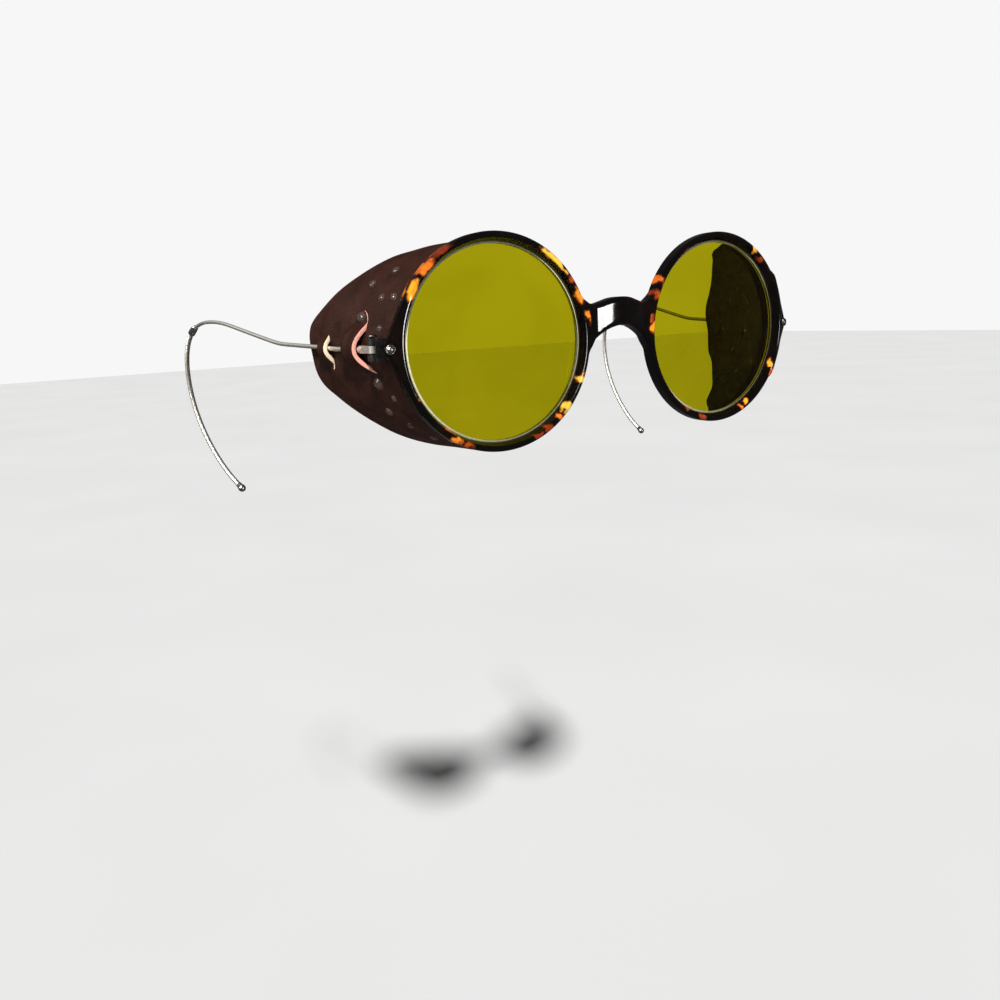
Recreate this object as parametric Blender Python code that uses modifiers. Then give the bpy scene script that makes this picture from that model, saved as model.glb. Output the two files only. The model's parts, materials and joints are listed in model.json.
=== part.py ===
"""Round tortoiseshell glacier glasses with leather side shields and wire temples.

Frame of the model: metres, +Z up. The origin is the middle of the bridge's underside, where it
sits on the nose. The front looks along -Y, the wearer's right eye is at -X, and the temples run
back along +Y. Run it with: blender --background --python part.py
"""
import math

import bmesh
import bpy
from mathutils import Vector

MM = 0.001
COLLECTION = "glacier_glasses"
SIDES = {"right": -1, "left": 1}
GAP = 0.3 * MM                      # running and resting clearance between pieces
CUTTER_LENGTH = 20.0 * MM           # of the rods that cut bores, longer than any piece they cross

# ---- one-piece front ----
EYE_X = 34.35 * MM                  # middle of the bridge to a lens centre
EYE_Z = -2.6 * MM
WRAP = math.radians(2.0)            # each rim turns back towards its temple
RIM_RADIUS = 25.0 * MM
RIM_FRONT = -1.8 * MM               # front and back faces of the rim, along its own axis
RIM_BACK = 2.0 * MM
RIM_ROUND = 1.1 * MM                # rounding of the rim's outer edges
RIM_STEPS = 48
OPENING_RADIUS = 22.7 * MM
OPENING_ROUND = 0.5 * MM
GROOVE_RADIUS = 23.9 * MM
GROOVE_MIDDLE = 0.9 * MM            # the lens groove's middle plane
GROOVE_MOUTH = 1.25 * MM            # half the groove's width at the opening
GROOVE_FLOOR = 0.2 * MM             # half its width at the bottom
SEAT_PAST = 1.0 * MM                # how far the seat's cutter runs past the rim's faces

LENS_RADIUS = 23.4 * MM
LENS_HALF_EDGE = 0.8 * MM
LENS_BEVEL = 1.0 * MM               # the edge's bevel, measured along the radius
LENS_SAG = 1.1 * MM                 # how far the middle stands in front of the edge

END_ROOT = 22.0 * MM                # where the end piece starts to sweep back, from the lens centre
END_SWEEP = math.radians(12.9)
END_LENGTH = 6.1 * MM               # from the root to the apex
END_APEX_Z = 0.35 * MM              # the apex above the lens centre
END_ROUND = 0.7 * MM                # rounding of the apex, seen from the front
END_EASE = 0.66 * MM                # easing of its front and back edges
END_OVERLAP = 1.5 * MM              # how far its blank reaches into the rim

# (x, top z, underside z, front y, back y) of the bridge in mm, from just past the middle plane,
# where it is mirrored, to inside a rim
BRIDGE_SECTIONS = [
    (-1.0, 6.9, 0.0, -3.1, 0.7),
    (2.6, 6.6, -0.4, -3.0, 0.8),
    (5.0, 5.7, -1.4, -2.6, 1.0),
    (7.2, 5.0, -2.9, -2.1, 1.2),
    (9.2, 5.6, -5.6, -1.7, 1.5),
    (11.4, 7.2, -8.0, -1.5, 1.7),
]
BRIDGE_CORNER = 0.32                # share of a section's depth taken off each corner

# ---- hinge, in the end piece's own directions ----
RIVET_OUT = 4.4 * MM                # from the end piece's root
RIVET_SHANK = 0.7 * MM
RIVET_HEAD = 1.15 * MM
RIVET_DOME = 0.75 * MM
RIVET_TAIL = 0.4 * MM               # the peened end behind the leaf
WASHER_RADIUS = 1.6 * MM
WASHER_THICKNESS = 0.35 * MM
HINGE_OUT = 7.2 * MM
HINGE_BACK = 4.6 * MM
LEAF_IN = 3.2 * MM                  # the leaf's inner and outer edges
LEAF_OUT = 7.0 * MM
LEAF_THICKNESS = 0.6 * MM
LEAF_HEIGHT = 5.0 * MM
TAB_WIDTH = 1.2 * MM
KNUCKLE_RADIUS = 1.35 * MM
KNUCKLE_BORE = 0.85 * MM
KNUCKLE_HEIGHT = 1.4 * MM           # each outer knuckle
MIDDLE_HEIGHT = 1.6 * MM            # the temple's knuckle
SCREW_RADIUS = 0.5 * MM
SCREW_HEAD = 1.15 * MM
SCREW_HEAD_HEIGHT = 0.6 * MM
SCREW_SLOT = 0.3 * MM

# ---- temple, along its own direction s from the hinge axis, with z from the hinge ----
SPLAY = math.radians(11.0)
BUTT_ARM = 4.6 * MM
BUTT_ARM_WIDTH = 1.3 * MM
BUTT_END = 8.0 * MM
SOCKET_OVERLAP = 1.0 * MM           # of the socket over the arm
BUTT_RADIUS = 0.95 * MM
WIRE_RADIUS = 0.53 * MM
CABLE_RADIUS = 0.75 * MM
FERRULE_RADIUS = 1.05 * MM
FERRULE_LENGTH = 4.0 * MM
TIP_RADIUS = 1.1 * MM
TIP_LENGTH = 3.2 * MM
POINT_SPACING = 2.4 * MM
CABLE_LEAD = 4.8 * MM               # straight length of the ear cable next to the ferrule
# the wire's route in (s, z), by hand: along the head, over the ear and down behind it
TEMPLE_ROUTE = [
    (8.3, 0.0), (16.0, 0.15), (24.5, 0.6), (34.0, 1.0), (43.3, 1.5), (52.0, 2.9), (64.0, 5.1),
    (75.2, 7.1), (83.5, 7.8), (91.0, 7.5), (97.0, 5.9), (101.6, 2.9), (104.6, -1.2),
    (106.0, -6.4), (105.6, -12.4), (103.4, -18.8), (99.0, -25.4), (92.6, -31.6),
    (84.6, -37.0), (75.1, -41.3),
]
WIRE_END = 88.0 * MM                # length of plain wire along the route, before the ferrule

# ---- leather side shield: a cone whose section follows the rim ----
SHIELD_RADIUS = 23.5 * MM
SHIELD_FLARE = 0.266                # how far it spreads outwards for each length it goes back
SHIELD_THICKNESS = 1.0 * MM
SHIELD_FRONT = 6.2 * MM             # the leather's front edge
SHIELD_START = 3.0 * MM             # where the flare starts
# (angle above the temple in degrees, y in mm) round the leather's free edge, top to bottom
SHIELD_EDGE = [
    (69, 7.2), (65, 11.5), (58, 18.2), (46, 23.8), (36, 27.9), (24, 32.6), (14, 36.1), (3, 36.2),
    (-8, 35.1), (-19, 33.9), (-29, 29.8), (-41, 25.5), (-54, 20.8), (-66, 17.0), (-76, 11.5),
    (-80, 7.2),
]
SHIELD_ROWS = 20
SHIELD_COLUMNS = 8

COLOURS = {
    "tortoiseshell": ((0.035, 0.018, 0.01), 0.12, 0.0),
    "amber_lens": ((0.62, 0.6, 0.03), 0.04, 0.0),
    "leather": ((0.11, 0.05, 0.04), 0.45, 0.0),
    "nickel": ((0.6, 0.6, 0.58), 0.25, 1.0),
    "wire": ((0.36, 0.35, 0.33), 0.35, 1.0),
}


def clear_scene():
    for obj in list(bpy.data.objects):
        bpy.data.objects.remove(obj, do_unlink=True)


def collection(name):
    made = bpy.data.collections.new(name)
    bpy.context.scene.collection.children.link(made)
    return made


def material(name):
    colour, roughness, metallic = COLOURS[name]
    made = bpy.data.materials.get(name) or bpy.data.materials.new(name)
    made.use_nodes = True
    shader = made.node_tree.nodes["Principled BSDF"]
    shader.inputs["Base Color"].default_value = (*colour, 1.0)
    shader.inputs["Roughness"].default_value = roughness
    shader.inputs["Metallic"].default_value = metallic
    return made


def place(obj, parent=None, location=(0, 0, 0), turn=(0, 0, 0)):
    obj.parent = parent
    obj.location = location
    obj.rotation_euler = turn
    return obj


def empty(name, parent=None, location=(0, 0, 0), turn=(0, 0, 0)):
    made = bpy.data.objects.new(name, None)
    parts.objects.link(made)
    return place(made, parent, location, turn)


def piece(name, data, finish):
    """A visible piece: its object is linked to the part's collection and gets its material."""
    made = bpy.data.objects.new(name, data)
    parts.objects.link(made)
    data.materials.append(material(finish))
    return made


def guide(name, data):
    """A shape that a piece is joined with or cut by. It isn't part of the object."""
    made = bpy.data.objects.new(name, data)
    guides.objects.link(made)
    made.hide_render = True
    made.display_type = "WIRE"
    return made


def mesh_from(bm, name, smooth_angle=30):
    bmesh.ops.recalc_face_normals(bm, faces=bm.faces)
    mesh = bpy.data.meshes.new(name)
    bm.to_mesh(mesh)
    bm.free()
    mesh.shade_smooth()
    mesh.set_sharp_from_angle(angle=math.radians(smooth_angle))
    return mesh


def combine(obj, other, operation):
    boolean = obj.modifiers.new(f"{operation.lower()}_{other.name}", "BOOLEAN")
    boolean.operation = operation
    boolean.solver = "EXACT"
    boolean.use_self = True
    boolean.object = other


def arc(centre, radius, start, end, steps):
    """Points (r, z) along an arc; angles in degrees from +r towards +z."""
    angles = [math.radians(start + (end - start) * i / steps) for i in range(steps + 1)]
    return [(centre[0] + radius * math.cos(a), centre[1] + radius * math.sin(a)) for a in angles]


def turned_mesh(name, profile, closed=False):
    mesh = bpy.data.meshes.new(name)
    edges = [(i, i + 1) for i in range(len(profile) - 1)]
    if closed:
        edges.append((len(profile) - 1, 0))
    mesh.from_pydata([(r, 0, z) for r, z in profile], edges, [])
    return mesh


def turn_profile(obj, steps):
    """Turns the object's profile about its own Z axis."""
    screw = obj.modifiers.new("turn", "SCREW")
    screw.steps = screw.render_steps = steps
    screw.use_merge_vertices = True
    screw.merge_threshold = 0.00001
    screw.use_smooth_shade = True
    return obj


def cylinder_mesh(name, radius, height, segments=24, top_radius=None):
    bm = bmesh.new()
    bmesh.ops.create_cone(bm, cap_ends=True, segments=segments, radius1=radius,
                          radius2=radius if top_radius is None else top_radius, depth=height)
    return mesh_from(bm, name)


def box_mesh(name, size):
    bm = bmesh.new()
    bmesh.ops.create_cube(bm, size=1.0)
    bmesh.ops.scale(bm, vec=size, verts=bm.verts)
    return mesh_from(bm, name)


def spline_points(points, spacing):
    """Points about `spacing` apart on the smooth curve through `points` (Catmull-Rom)."""
    ends = [points[0] * 2 - points[1]] + points + [points[-1] * 2 - points[-2]]
    fine = []
    for a, b, c, d in zip(ends, ends[1:], ends[2:], ends[3:]):
        for i in range(24):
            t = i / 24
            fine.append(0.5 * (2 * b + (c - a) * t + (2 * a - 5 * b + 4 * c - d) * t * t
                               + (3 * b - a - 3 * c + d) * t ** 3))
    fine.append(points[-1])
    travelled = [0.0]
    for a, b in zip(fine, fine[1:]):
        travelled.append(travelled[-1] + (b - a).length)
    count = max(2, round(travelled[-1] / spacing))
    placed, k = [], 0
    for i in range(count + 1):
        want = travelled[-1] * i / count
        while k < len(fine) - 2 and travelled[k + 1] < want:
            k += 1
        share = (want - travelled[k]) / (travelled[k + 1] - travelled[k])
        placed.append(fine[k].lerp(fine[k + 1], share))
    return placed


def tube_curve(name, points, radius):
    curve = bpy.data.curves.new(name, "CURVE")
    curve.dimensions = "3D"
    curve.bevel_depth = radius
    curve.bevel_resolution = 2
    curve.use_fill_caps = True
    spline = curve.splines.new("POLY")
    spline.points.add(len(points) - 1)
    for point, place_at in zip(spline.points, points):
        point.co = (*place_at, 1.0)
    return curve


# ---------------------------------------------------------------- front

def rim_blank():
    """The solid disc that a rim is cut from, turned about its own axis."""
    r, front, back, edge = RIM_RADIUS, RIM_FRONT, RIM_BACK, RIM_ROUND
    profile = [(0, back)]
    profile += arc((r - edge, back - edge), edge, 90, 0, 3)
    profile += arc((r - edge, front + edge), edge, 0, -90, 3)
    profile.append((0, front))
    return turned_mesh("rim_blank", profile)


def lens_seat():
    """What is cut from the blank: the opening, its eased edges and the lens groove."""
    past = SEAT_PAST
    ease = OPENING_ROUND
    half, floor, middle = GROOVE_MOUTH, GROOVE_FLOOR, GROOVE_MIDDLE
    profile = [
        (0, RIM_BACK + past),
        (OPENING_RADIUS + ease + past, RIM_BACK + past),
        (OPENING_RADIUS, RIM_BACK - ease),
        (OPENING_RADIUS, middle + half),
        (GROOVE_RADIUS, middle + floor),
        (GROOVE_RADIUS, middle - floor),
        (OPENING_RADIUS, middle - half),
        (OPENING_RADIUS, RIM_FRONT + ease),
        (OPENING_RADIUS + ease + past, RIM_FRONT - past),
        (0, RIM_FRONT - past),
    ]
    return turned_mesh("lens_seat", profile)


def end_piece_blank():
    """The triangular end piece: an outline tangent to the rim, with a rounded apex."""
    reach = END_ROOT + END_LENGTH
    half_angle = math.asin(RIM_RADIUS / reach)
    tangent = math.acos(RIM_RADIUS / reach)
    top = (RIM_RADIUS * math.cos(tangent) - END_ROOT, RIM_RADIUS * math.sin(tangent))
    tip_centre = END_LENGTH - END_ROUND / math.sin(half_angle)
    turn = 90 - math.degrees(half_angle)
    outline = [(-END_OVERLAP, top[1]), top]
    outline += arc((tip_centre, END_APEX_Z), END_ROUND, turn, -turn, 4)
    outline += [(top[0], -top[1]), (-END_OVERLAP, -top[1])]
    curve = bpy.data.curves.new("end_piece", "CURVE")
    curve.dimensions = "2D"
    curve.fill_mode = "BOTH"
    curve.extrude = (RIM_BACK - RIM_FRONT) / 2
    spline = curve.splines.new("POLY")
    spline.points.add(len(outline) - 1)
    for point, (x, z) in zip(spline.points, outline):
        point.co = (-x, z, 0, 1)
    spline.use_cyclic_u = True
    return curve


def made_mesh(obj):
    """Replaces a curve guide by the same shape as a welded mesh."""
    bpy.context.view_layer.update()
    evaluated = obj.evaluated_get(bpy.context.evaluated_depsgraph_get())
    mesh = bpy.data.meshes.new_from_object(evaluated)
    bm = bmesh.new()
    bm.from_mesh(mesh)
    bmesh.ops.remove_doubles(bm, verts=bm.verts, dist=0.00001)
    bmesh.ops.recalc_face_normals(bm, faces=bm.faces)
    bm.to_mesh(mesh)
    bm.free()
    made = guide(obj.name + "_solid", mesh)
    made.matrix_world = obj.matrix_world.copy()
    bpy.data.objects.remove(obj)
    return made


def bridge_mesh():
    """Half of the bowed saddle bridge, as a loft that runs a little past the middle plane."""
    bm = bmesh.new()
    rings = []
    for x, top, under, front, back in BRIDGE_SECTIONS:
        cut = BRIDGE_CORNER * (back - front)
        corners = [
            (front + cut, top), (back - cut, top), (back, top - cut), (back, under + cut),
            (back - cut, under), (front + cut, under), (front, under + cut), (front, top - cut),
        ]
        rings.append([bm.verts.new((-x * MM, y * MM, z * MM)) for y, z in corners])
    count = len(rings[0])
    for a, b in zip(rings, rings[1:]):
        for i in range(count):
            j = (i + 1) % count
            bm.faces.new((a[i], a[j], b[j], b[i]))
    bm.faces.new(rings[0])
    bm.faces.new(rings[-1])
    return mesh_from(bm, "bridge", 40)


def build_front():
    """Bridge, rim and end piece of the right half joined, seats cut, then mirrored."""
    front = piece("front_frame", bridge_mesh(), "tortoiseshell")
    eye, end = eyes["right"], ends["right"]
    on_axis = (math.radians(-90), 0, 0)
    blank = place(turn_profile(guide("rim_blank", rim_blank()), RIM_STEPS), eye, turn=on_axis)
    middle = (RIM_FRONT + RIM_BACK) / 2
    outline = guide("end_piece", end_piece_blank())
    place(outline, end, (0, middle, 0), (math.radians(90), 0, 0))
    end_solid = made_mesh(outline)
    ease = end_solid.modifiers.new("ease", "BEVEL")
    ease.width = END_EASE
    ease.segments = 2
    ease.limit_method = "ANGLE"
    ease.angle_limit = math.radians(60)
    seat = place(turn_profile(guide("lens_seat", lens_seat()), RIM_STEPS), eye, turn=on_axis)
    bore = guide("rivet_bore", cylinder_mesh("rivet_bore", RIVET_SHANK + GAP, CUTTER_LENGTH, 16))
    place(bore, end, (-RIVET_OUT, 0, END_APEX_Z), on_axis)
    combine(end_solid, bore, "DIFFERENCE")
    for other, operation in ((blank, "UNION"), (end_solid, "UNION"), (seat, "DIFFERENCE")):
        combine(front, other, operation)
    mirror = front.modifiers.new("mirror", "MIRROR")
    mirror.use_axis = (True, False, False)
    mirror.use_bisect_axis = (True, False, False)
    mirror.use_bisect_flip_axis = (True, False, False)
    mirror.use_clip = True
    mirror.bisect_threshold = 0.00001
    mirror.merge_threshold = 0.00001


def build_lens(side):
    """A thin domed lens with a V edge."""
    rim, half, sag = LENS_RADIUS - LENS_BEVEL, LENS_HALF_EDGE, LENS_SAG
    steps = 5
    radii = [rim * i / steps for i in range(steps + 1)]
    dome = [sag * (1 - (r / rim) ** 2) for r in radii]
    back = [(r, half - d) for r, d in zip(radii, dome)]
    front = [(r, -half - d) for r, d in zip(radii, dome)]
    profile = back + [(LENS_RADIUS, 0.1 * MM), (LENS_RADIUS, -0.1 * MM)] + front[::-1]
    lens = piece(f"lens_{side}", turned_mesh(f"lens_{side}", profile), "amber_lens")
    turn_profile(lens, RIM_STEPS)
    place(lens, eyes[side], (0, GROOVE_MIDDLE, 0), (math.radians(-90), 0, 0))


# ---------------------------------------------------------------- hinge

def build_rivet(side):
    """The domed rivet that holds the hinge leaf, and the washer under its head."""
    out = SIDES[side] * RIVET_OUT
    back = RIM_BACK + LEAF_THICKNESS + 2 * GAP
    under_head = RIM_FRONT - 2 * GAP - WASHER_THICKNESS
    quarter = [math.radians(90 * i / 4) for i in range(4)]
    dome = [(RIVET_HEAD * math.cos(a), under_head - RIVET_DOME * math.sin(a)) for a in quarter]
    dome.append((0, under_head - RIVET_DOME))
    tail = [(0, back + RIVET_TAIL), (RIVET_SHANK, back + 0.8 * RIVET_TAIL),
            (RIVET_SHANK * 1.25, back), (RIVET_SHANK, back)]
    profile = tail + [(RIVET_SHANK, under_head)] + dome
    rivet = piece(f"rivet_{side}", turned_mesh(f"rivet_{side}", profile), "nickel")
    turn_profile(rivet, 20)
    place(rivet, ends[side], (out, 0, END_APEX_Z), (math.radians(-90), 0, 0))
    hole = RIVET_SHANK + GAP
    high, low = RIM_FRONT - GAP, RIM_FRONT - GAP - WASHER_THICKNESS
    rounding = WASHER_THICKNESS * 0.4
    ring = [(hole, high), (WASHER_RADIUS, high), (WASHER_RADIUS, low + rounding),
            (WASHER_RADIUS - rounding, low), (hole, low)]
    washer = piece(f"rivet_washer_{side}", turned_mesh("ring", ring, closed=True), "nickel")
    turn_profile(washer, 20)
    place(washer, ends[side], (out, 0, END_APEX_Z), (math.radians(-90), 0, 0))


def build_leaf(side):
    """The hinge leaf on the end piece's back, with its two outer knuckles."""
    sign = SIDES[side]
    plate_y = RIM_BACK + GAP + LEAF_THICKNESS / 2
    width = LEAF_OUT - LEAF_IN
    leaf = piece(f"hinge_leaf_{side}",
                 box_mesh("leaf", (width, LEAF_THICKNESS, LEAF_HEIGHT)), "nickel")
    place(leaf, ends[side], (sign * (LEAF_IN + width / 2), plate_y, END_APEX_Z))
    for level in (1, -1):
        z = END_APEX_Z + level * (MIDDLE_HEIGHT / 2 + GAP + KNUCKLE_HEIGHT / 2)
        tab_depth = HINGE_BACK - plate_y
        tab = guide(f"leaf_tab_{side}_{level}", box_mesh("tab", (TAB_WIDTH, tab_depth, KNUCKLE_HEIGHT)))
        place(tab, ends[side], (sign * (LEAF_OUT - TAB_WIDTH / 2), plate_y + tab_depth / 2, z))
        barrel = guide(f"leaf_knuckle_{side}_{level}",
                       cylinder_mesh("barrel", KNUCKLE_RADIUS, KNUCKLE_HEIGHT, 24))
        place(barrel, ends[side], (sign * HINGE_OUT, HINGE_BACK, z))
        combine(leaf, tab, "UNION")
        combine(leaf, barrel, "UNION")
    bore = guide(f"leaf_bore_{side}", cylinder_mesh("bore", KNUCKLE_BORE, CUTTER_LENGTH, 20))
    place(bore, ends[side], (sign * HINGE_OUT, HINGE_BACK, END_APEX_Z))
    hole = guide(f"leaf_rivet_hole_{side}", cylinder_mesh("hole", RIVET_SHANK + GAP, 6 * MM, 16))
    place(hole, ends[side], (sign * RIVET_OUT, plate_y, END_APEX_Z), (math.radians(-90), 0, 0))
    combine(leaf, bore, "DIFFERENCE")
    combine(leaf, hole, "DIFFERENCE")


def build_screw(side):
    """The hinge screw: slotted domed head on top, plain shank, flush lower end."""
    reach = MIDDLE_HEIGHT / 2 + GAP + KNUCKLE_HEIGHT
    top = reach + GAP
    rise = SCREW_HEAD_HEIGHT
    profile = [(0, top + rise), (SCREW_HEAD * 0.55, top + rise * 0.92),
               (SCREW_HEAD * 0.9, top + rise * 0.6), (SCREW_HEAD, top + rise * 0.25),
               (SCREW_HEAD, top), (SCREW_RADIUS, top), (SCREW_RADIUS, -reach), (0, -reach)]
    screw = piece(f"hinge_screw_{side}", turned_mesh("screw", profile), "nickel")
    turn_profile(screw, 20)
    place(screw, hinges[side])
    slot = guide(f"screw_slot_{side}",
                 box_mesh("slot", (4 * SCREW_HEAD, SCREW_SLOT, 2 * SCREW_SLOT)))
    place(slot, hinges[side], (0, 0, top + rise), (0, 0, math.radians(25)))
    combine(screw, slot, "DIFFERENCE")


# ---------------------------------------------------------------- temple

def along(side, s, z):
    """A point in a temple's own empty: s back along the temple, z up."""
    return Vector((SIDES[side] * s * math.sin(SPLAY), s * math.cos(SPLAY), z))


def build_butt(side):
    """The temple's middle knuckle with its arm and the socket that grips the wire."""
    butt = piece(f"temple_butt_{side}",
                 cylinder_mesh("knuckle", KNUCKLE_RADIUS, MIDDLE_HEIGHT, 24), "nickel")
    place(butt, hinges[side])
    heading = -SIDES[side] * SPLAY
    arm = guide(f"butt_arm_{side}",
                box_mesh("arm", (BUTT_ARM_WIDTH, BUTT_ARM, MIDDLE_HEIGHT)))
    place(arm, hinges[side], along(side, BUTT_ARM / 2, 0), (0, 0, heading))
    socket_length = BUTT_END - BUTT_ARM + SOCKET_OVERLAP
    socket = guide(f"butt_socket_{side}",
                   cylinder_mesh("socket", BUTT_RADIUS, socket_length, 16, BUTT_RADIUS * 0.8))
    place(socket, hinges[side], along(side, BUTT_END - socket_length / 2, 0),
          (math.radians(-90), 0, heading))
    bore = guide(f"butt_bore_{side}", cylinder_mesh("butt_bore", KNUCKLE_BORE, CUTTER_LENGTH, 20))
    place(bore, hinges[side])
    combine(butt, arm, "UNION")
    combine(butt, socket, "UNION")
    combine(butt, bore, "DIFFERENCE")


def build_temple(side):
    """Plain wire, ferrule, coiled ear cable and its tip, along one route."""
    route = [along(side, s * MM, z * MM) for s, z in TEMPLE_ROUTE]
    points = spline_points(route, POINT_SPACING)
    travelled = [0.0]
    for a, b in zip(points, points[1:]):
        travelled.append(travelled[-1] + (b - a).length)
    split = next(i for i, d in enumerate(travelled) if d >= WIRE_END)
    plain, rest = points[:split + 1], points[split:]
    direction = (rest[1] - rest[0]).normalized()
    wire = piece(f"temple_wire_{side}", tube_curve("wire", plain, WIRE_RADIUS), "wire")
    place(wire, hinges[side])
    ferrule_start = plain[-1] + direction * GAP
    ferrule_end = ferrule_start + direction * FERRULE_LENGTH
    ferrule = piece(f"ear_ferrule_{side}",
                    cylinder_mesh("ferrule", FERRULE_RADIUS * 0.75, FERRULE_LENGTH, 16,
                                  FERRULE_RADIUS), "nickel")
    place(ferrule, hinges[side], (ferrule_start + ferrule_end) / 2,
          direction.to_track_quat("Z", "Y").to_euler())
    tail_direction = (rest[-1] - rest[-2]).normalized()
    cable = [p for p, d in zip(points, travelled)
             if WIRE_END + FERRULE_LENGTH + CABLE_LEAD < d < travelled[-1] - TIP_LENGTH]
    cable.insert(0, ferrule_end + direction * GAP)
    tip_start = cable[-1] + tail_direction * GAP
    ear = piece(f"ear_cable_{side}", tube_curve("cable", cable, CABLE_RADIUS), "wire")
    place(ear, hinges[side])
    length, radius = TIP_LENGTH, TIP_RADIUS
    profile = [(0, length)] + [(radius * math.sin(math.radians(a)),
                                length - radius + radius * math.cos(math.radians(a)))
                               for a in (30, 60, 90)]
    profile += [(radius * 0.8, 0.3 * length), (radius * 0.72, 0), (0, 0)]
    tip = piece(f"ear_tip_{side}", turned_mesh("tip", profile), "nickel")
    turn_profile(tip, 16)
    place(tip, hinges[side], tip_start, tail_direction.to_track_quat("Z", "Y").to_euler())


# ---------------------------------------------------------------- side shield

def shield_edge(angle):
    """How far back the leather reaches at an angle, straight between the edge's points."""
    for (a, ya), (b, yb) in zip(SHIELD_EDGE, SHIELD_EDGE[1:]):
        if b <= angle <= a:
            return ya + (yb - ya) * (a - angle) / (a - b)
    raise ValueError(angle)


def build_shield(side):
    """The leather as a thin closed sheet, from its front edge back to its free edge."""
    sign = SIDES[side]
    top, bottom = SHIELD_EDGE[0][0], SHIELD_EDGE[-1][0]
    bm = bmesh.new()
    rows = []
    for i in range(SHIELD_ROWS + 1):
        angle = top + (bottom - top) * i / SHIELD_ROWS
        back = shield_edge(angle) * MM
        row = []
        for k in range(SHIELD_COLUMNS + 1):
            y = SHIELD_FRONT + (back - SHIELD_FRONT) * k / SHIELD_COLUMNS
            out = SHIELD_RADIUS * math.cos(math.radians(angle)) + (y - SHIELD_START) * SHIELD_FLARE
            z = EYE_Z + SHIELD_RADIUS * math.sin(math.radians(angle))
            row.append(bm.verts.new((sign * (EYE_X + out), y, z)))
        rows.append(row)
    for a, b in zip(rows, rows[1:]):
        for k in range(SHIELD_COLUMNS):
            bm.faces.new((a[k], a[k + 1], b[k + 1], b[k]))
    shield = piece(f"side_shield_{side}", mesh_from(bm, f"side_shield_{side}", 60), "leather")
    shell = shield.modifiers.new("leather", "SOLIDIFY")
    shell.thickness = SHIELD_THICKNESS
    shell.offset = 0
    bpy.context.view_layer.update()
    shield.parent = hinges[side]
    shield.matrix_parent_inverse = hinges[side].matrix_world.inverted()


clear_scene()
parts = collection(COLLECTION)
guides = collection("guides")
eyes, ends, hinges = {}, {}, {}
for side, sign in SIDES.items():
    eyes[side] = empty(f"eye_{side}", None, (sign * EYE_X, 0, EYE_Z), (0, 0, sign * WRAP))
    ends[side] = empty(f"end_piece_{side}", eyes[side], (sign * END_ROOT, 0, 0),
                       (0, 0, sign * END_SWEEP))
    bpy.context.view_layer.update()
    axis = ends[side].matrix_world @ Vector((sign * HINGE_OUT, HINGE_BACK, END_APEX_Z))
    hinges[side] = empty(f"hinge_axis_{side}", None, axis)
bpy.context.view_layer.update()
build_front()
for side in SIDES:
    build_lens(side)
    build_rivet(side)
    build_leaf(side)
    build_screw(side)
    build_butt(side)
    build_temple(side)
    build_shield(side)
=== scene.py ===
"""Looks of the round tortoiseshell glacier glasses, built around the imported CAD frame.

The numbers below are millimetres in the frame's directions: x towards the wearer's left, y back
along the temples, z up. Meshes are turned into metres when they are made.
"""
import json
import math

import bmesh
import bpy
import numpy as np
from mathutils import Matrix, Vector, noise
from mathutils.geometry import delaunay_2d_cdt

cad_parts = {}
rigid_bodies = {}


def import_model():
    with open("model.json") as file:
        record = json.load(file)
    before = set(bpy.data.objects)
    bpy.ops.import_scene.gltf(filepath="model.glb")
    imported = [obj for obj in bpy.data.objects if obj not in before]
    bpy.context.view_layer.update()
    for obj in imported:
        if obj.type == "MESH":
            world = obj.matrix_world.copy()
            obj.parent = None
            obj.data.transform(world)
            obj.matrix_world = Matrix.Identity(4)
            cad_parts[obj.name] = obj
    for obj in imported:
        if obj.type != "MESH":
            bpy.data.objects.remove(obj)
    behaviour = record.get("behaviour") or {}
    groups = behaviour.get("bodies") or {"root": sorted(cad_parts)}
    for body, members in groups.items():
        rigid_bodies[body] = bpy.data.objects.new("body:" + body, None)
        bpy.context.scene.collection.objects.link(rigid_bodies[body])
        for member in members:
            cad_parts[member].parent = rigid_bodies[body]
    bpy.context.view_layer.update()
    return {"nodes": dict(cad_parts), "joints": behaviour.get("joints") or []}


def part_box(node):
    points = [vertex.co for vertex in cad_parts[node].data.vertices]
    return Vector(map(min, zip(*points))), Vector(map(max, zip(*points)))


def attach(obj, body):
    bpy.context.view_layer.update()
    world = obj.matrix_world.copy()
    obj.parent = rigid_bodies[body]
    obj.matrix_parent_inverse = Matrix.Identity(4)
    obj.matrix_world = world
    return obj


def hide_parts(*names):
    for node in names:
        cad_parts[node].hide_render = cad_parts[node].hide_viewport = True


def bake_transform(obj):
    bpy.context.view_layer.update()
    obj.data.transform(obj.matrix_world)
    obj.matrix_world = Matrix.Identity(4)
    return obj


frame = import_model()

MM = 0.001
SIDES = {"right": -1, "left": 1}


# ==== sizes taken from the frame ====

def low_high(node):
    low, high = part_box(node)
    return np.array(low) / MM, np.array(high) / MM


lens_low, lens_high = low_high("lens_left")
EYE_X = (lens_low[0] + lens_high[0]) / 2
EYE_Z = (lens_low[2] + lens_high[2]) / 2
RIM_RADIUS = low_high("front_frame")[1][2] - EYE_Z
LENS_RADIUS = (lens_high[2] - lens_low[2]) / 2
HINGES = {joint["child"].split("_")[-1]: np.array(joint["pos_m"]) / MM for joint in frame["joints"]}

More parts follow.
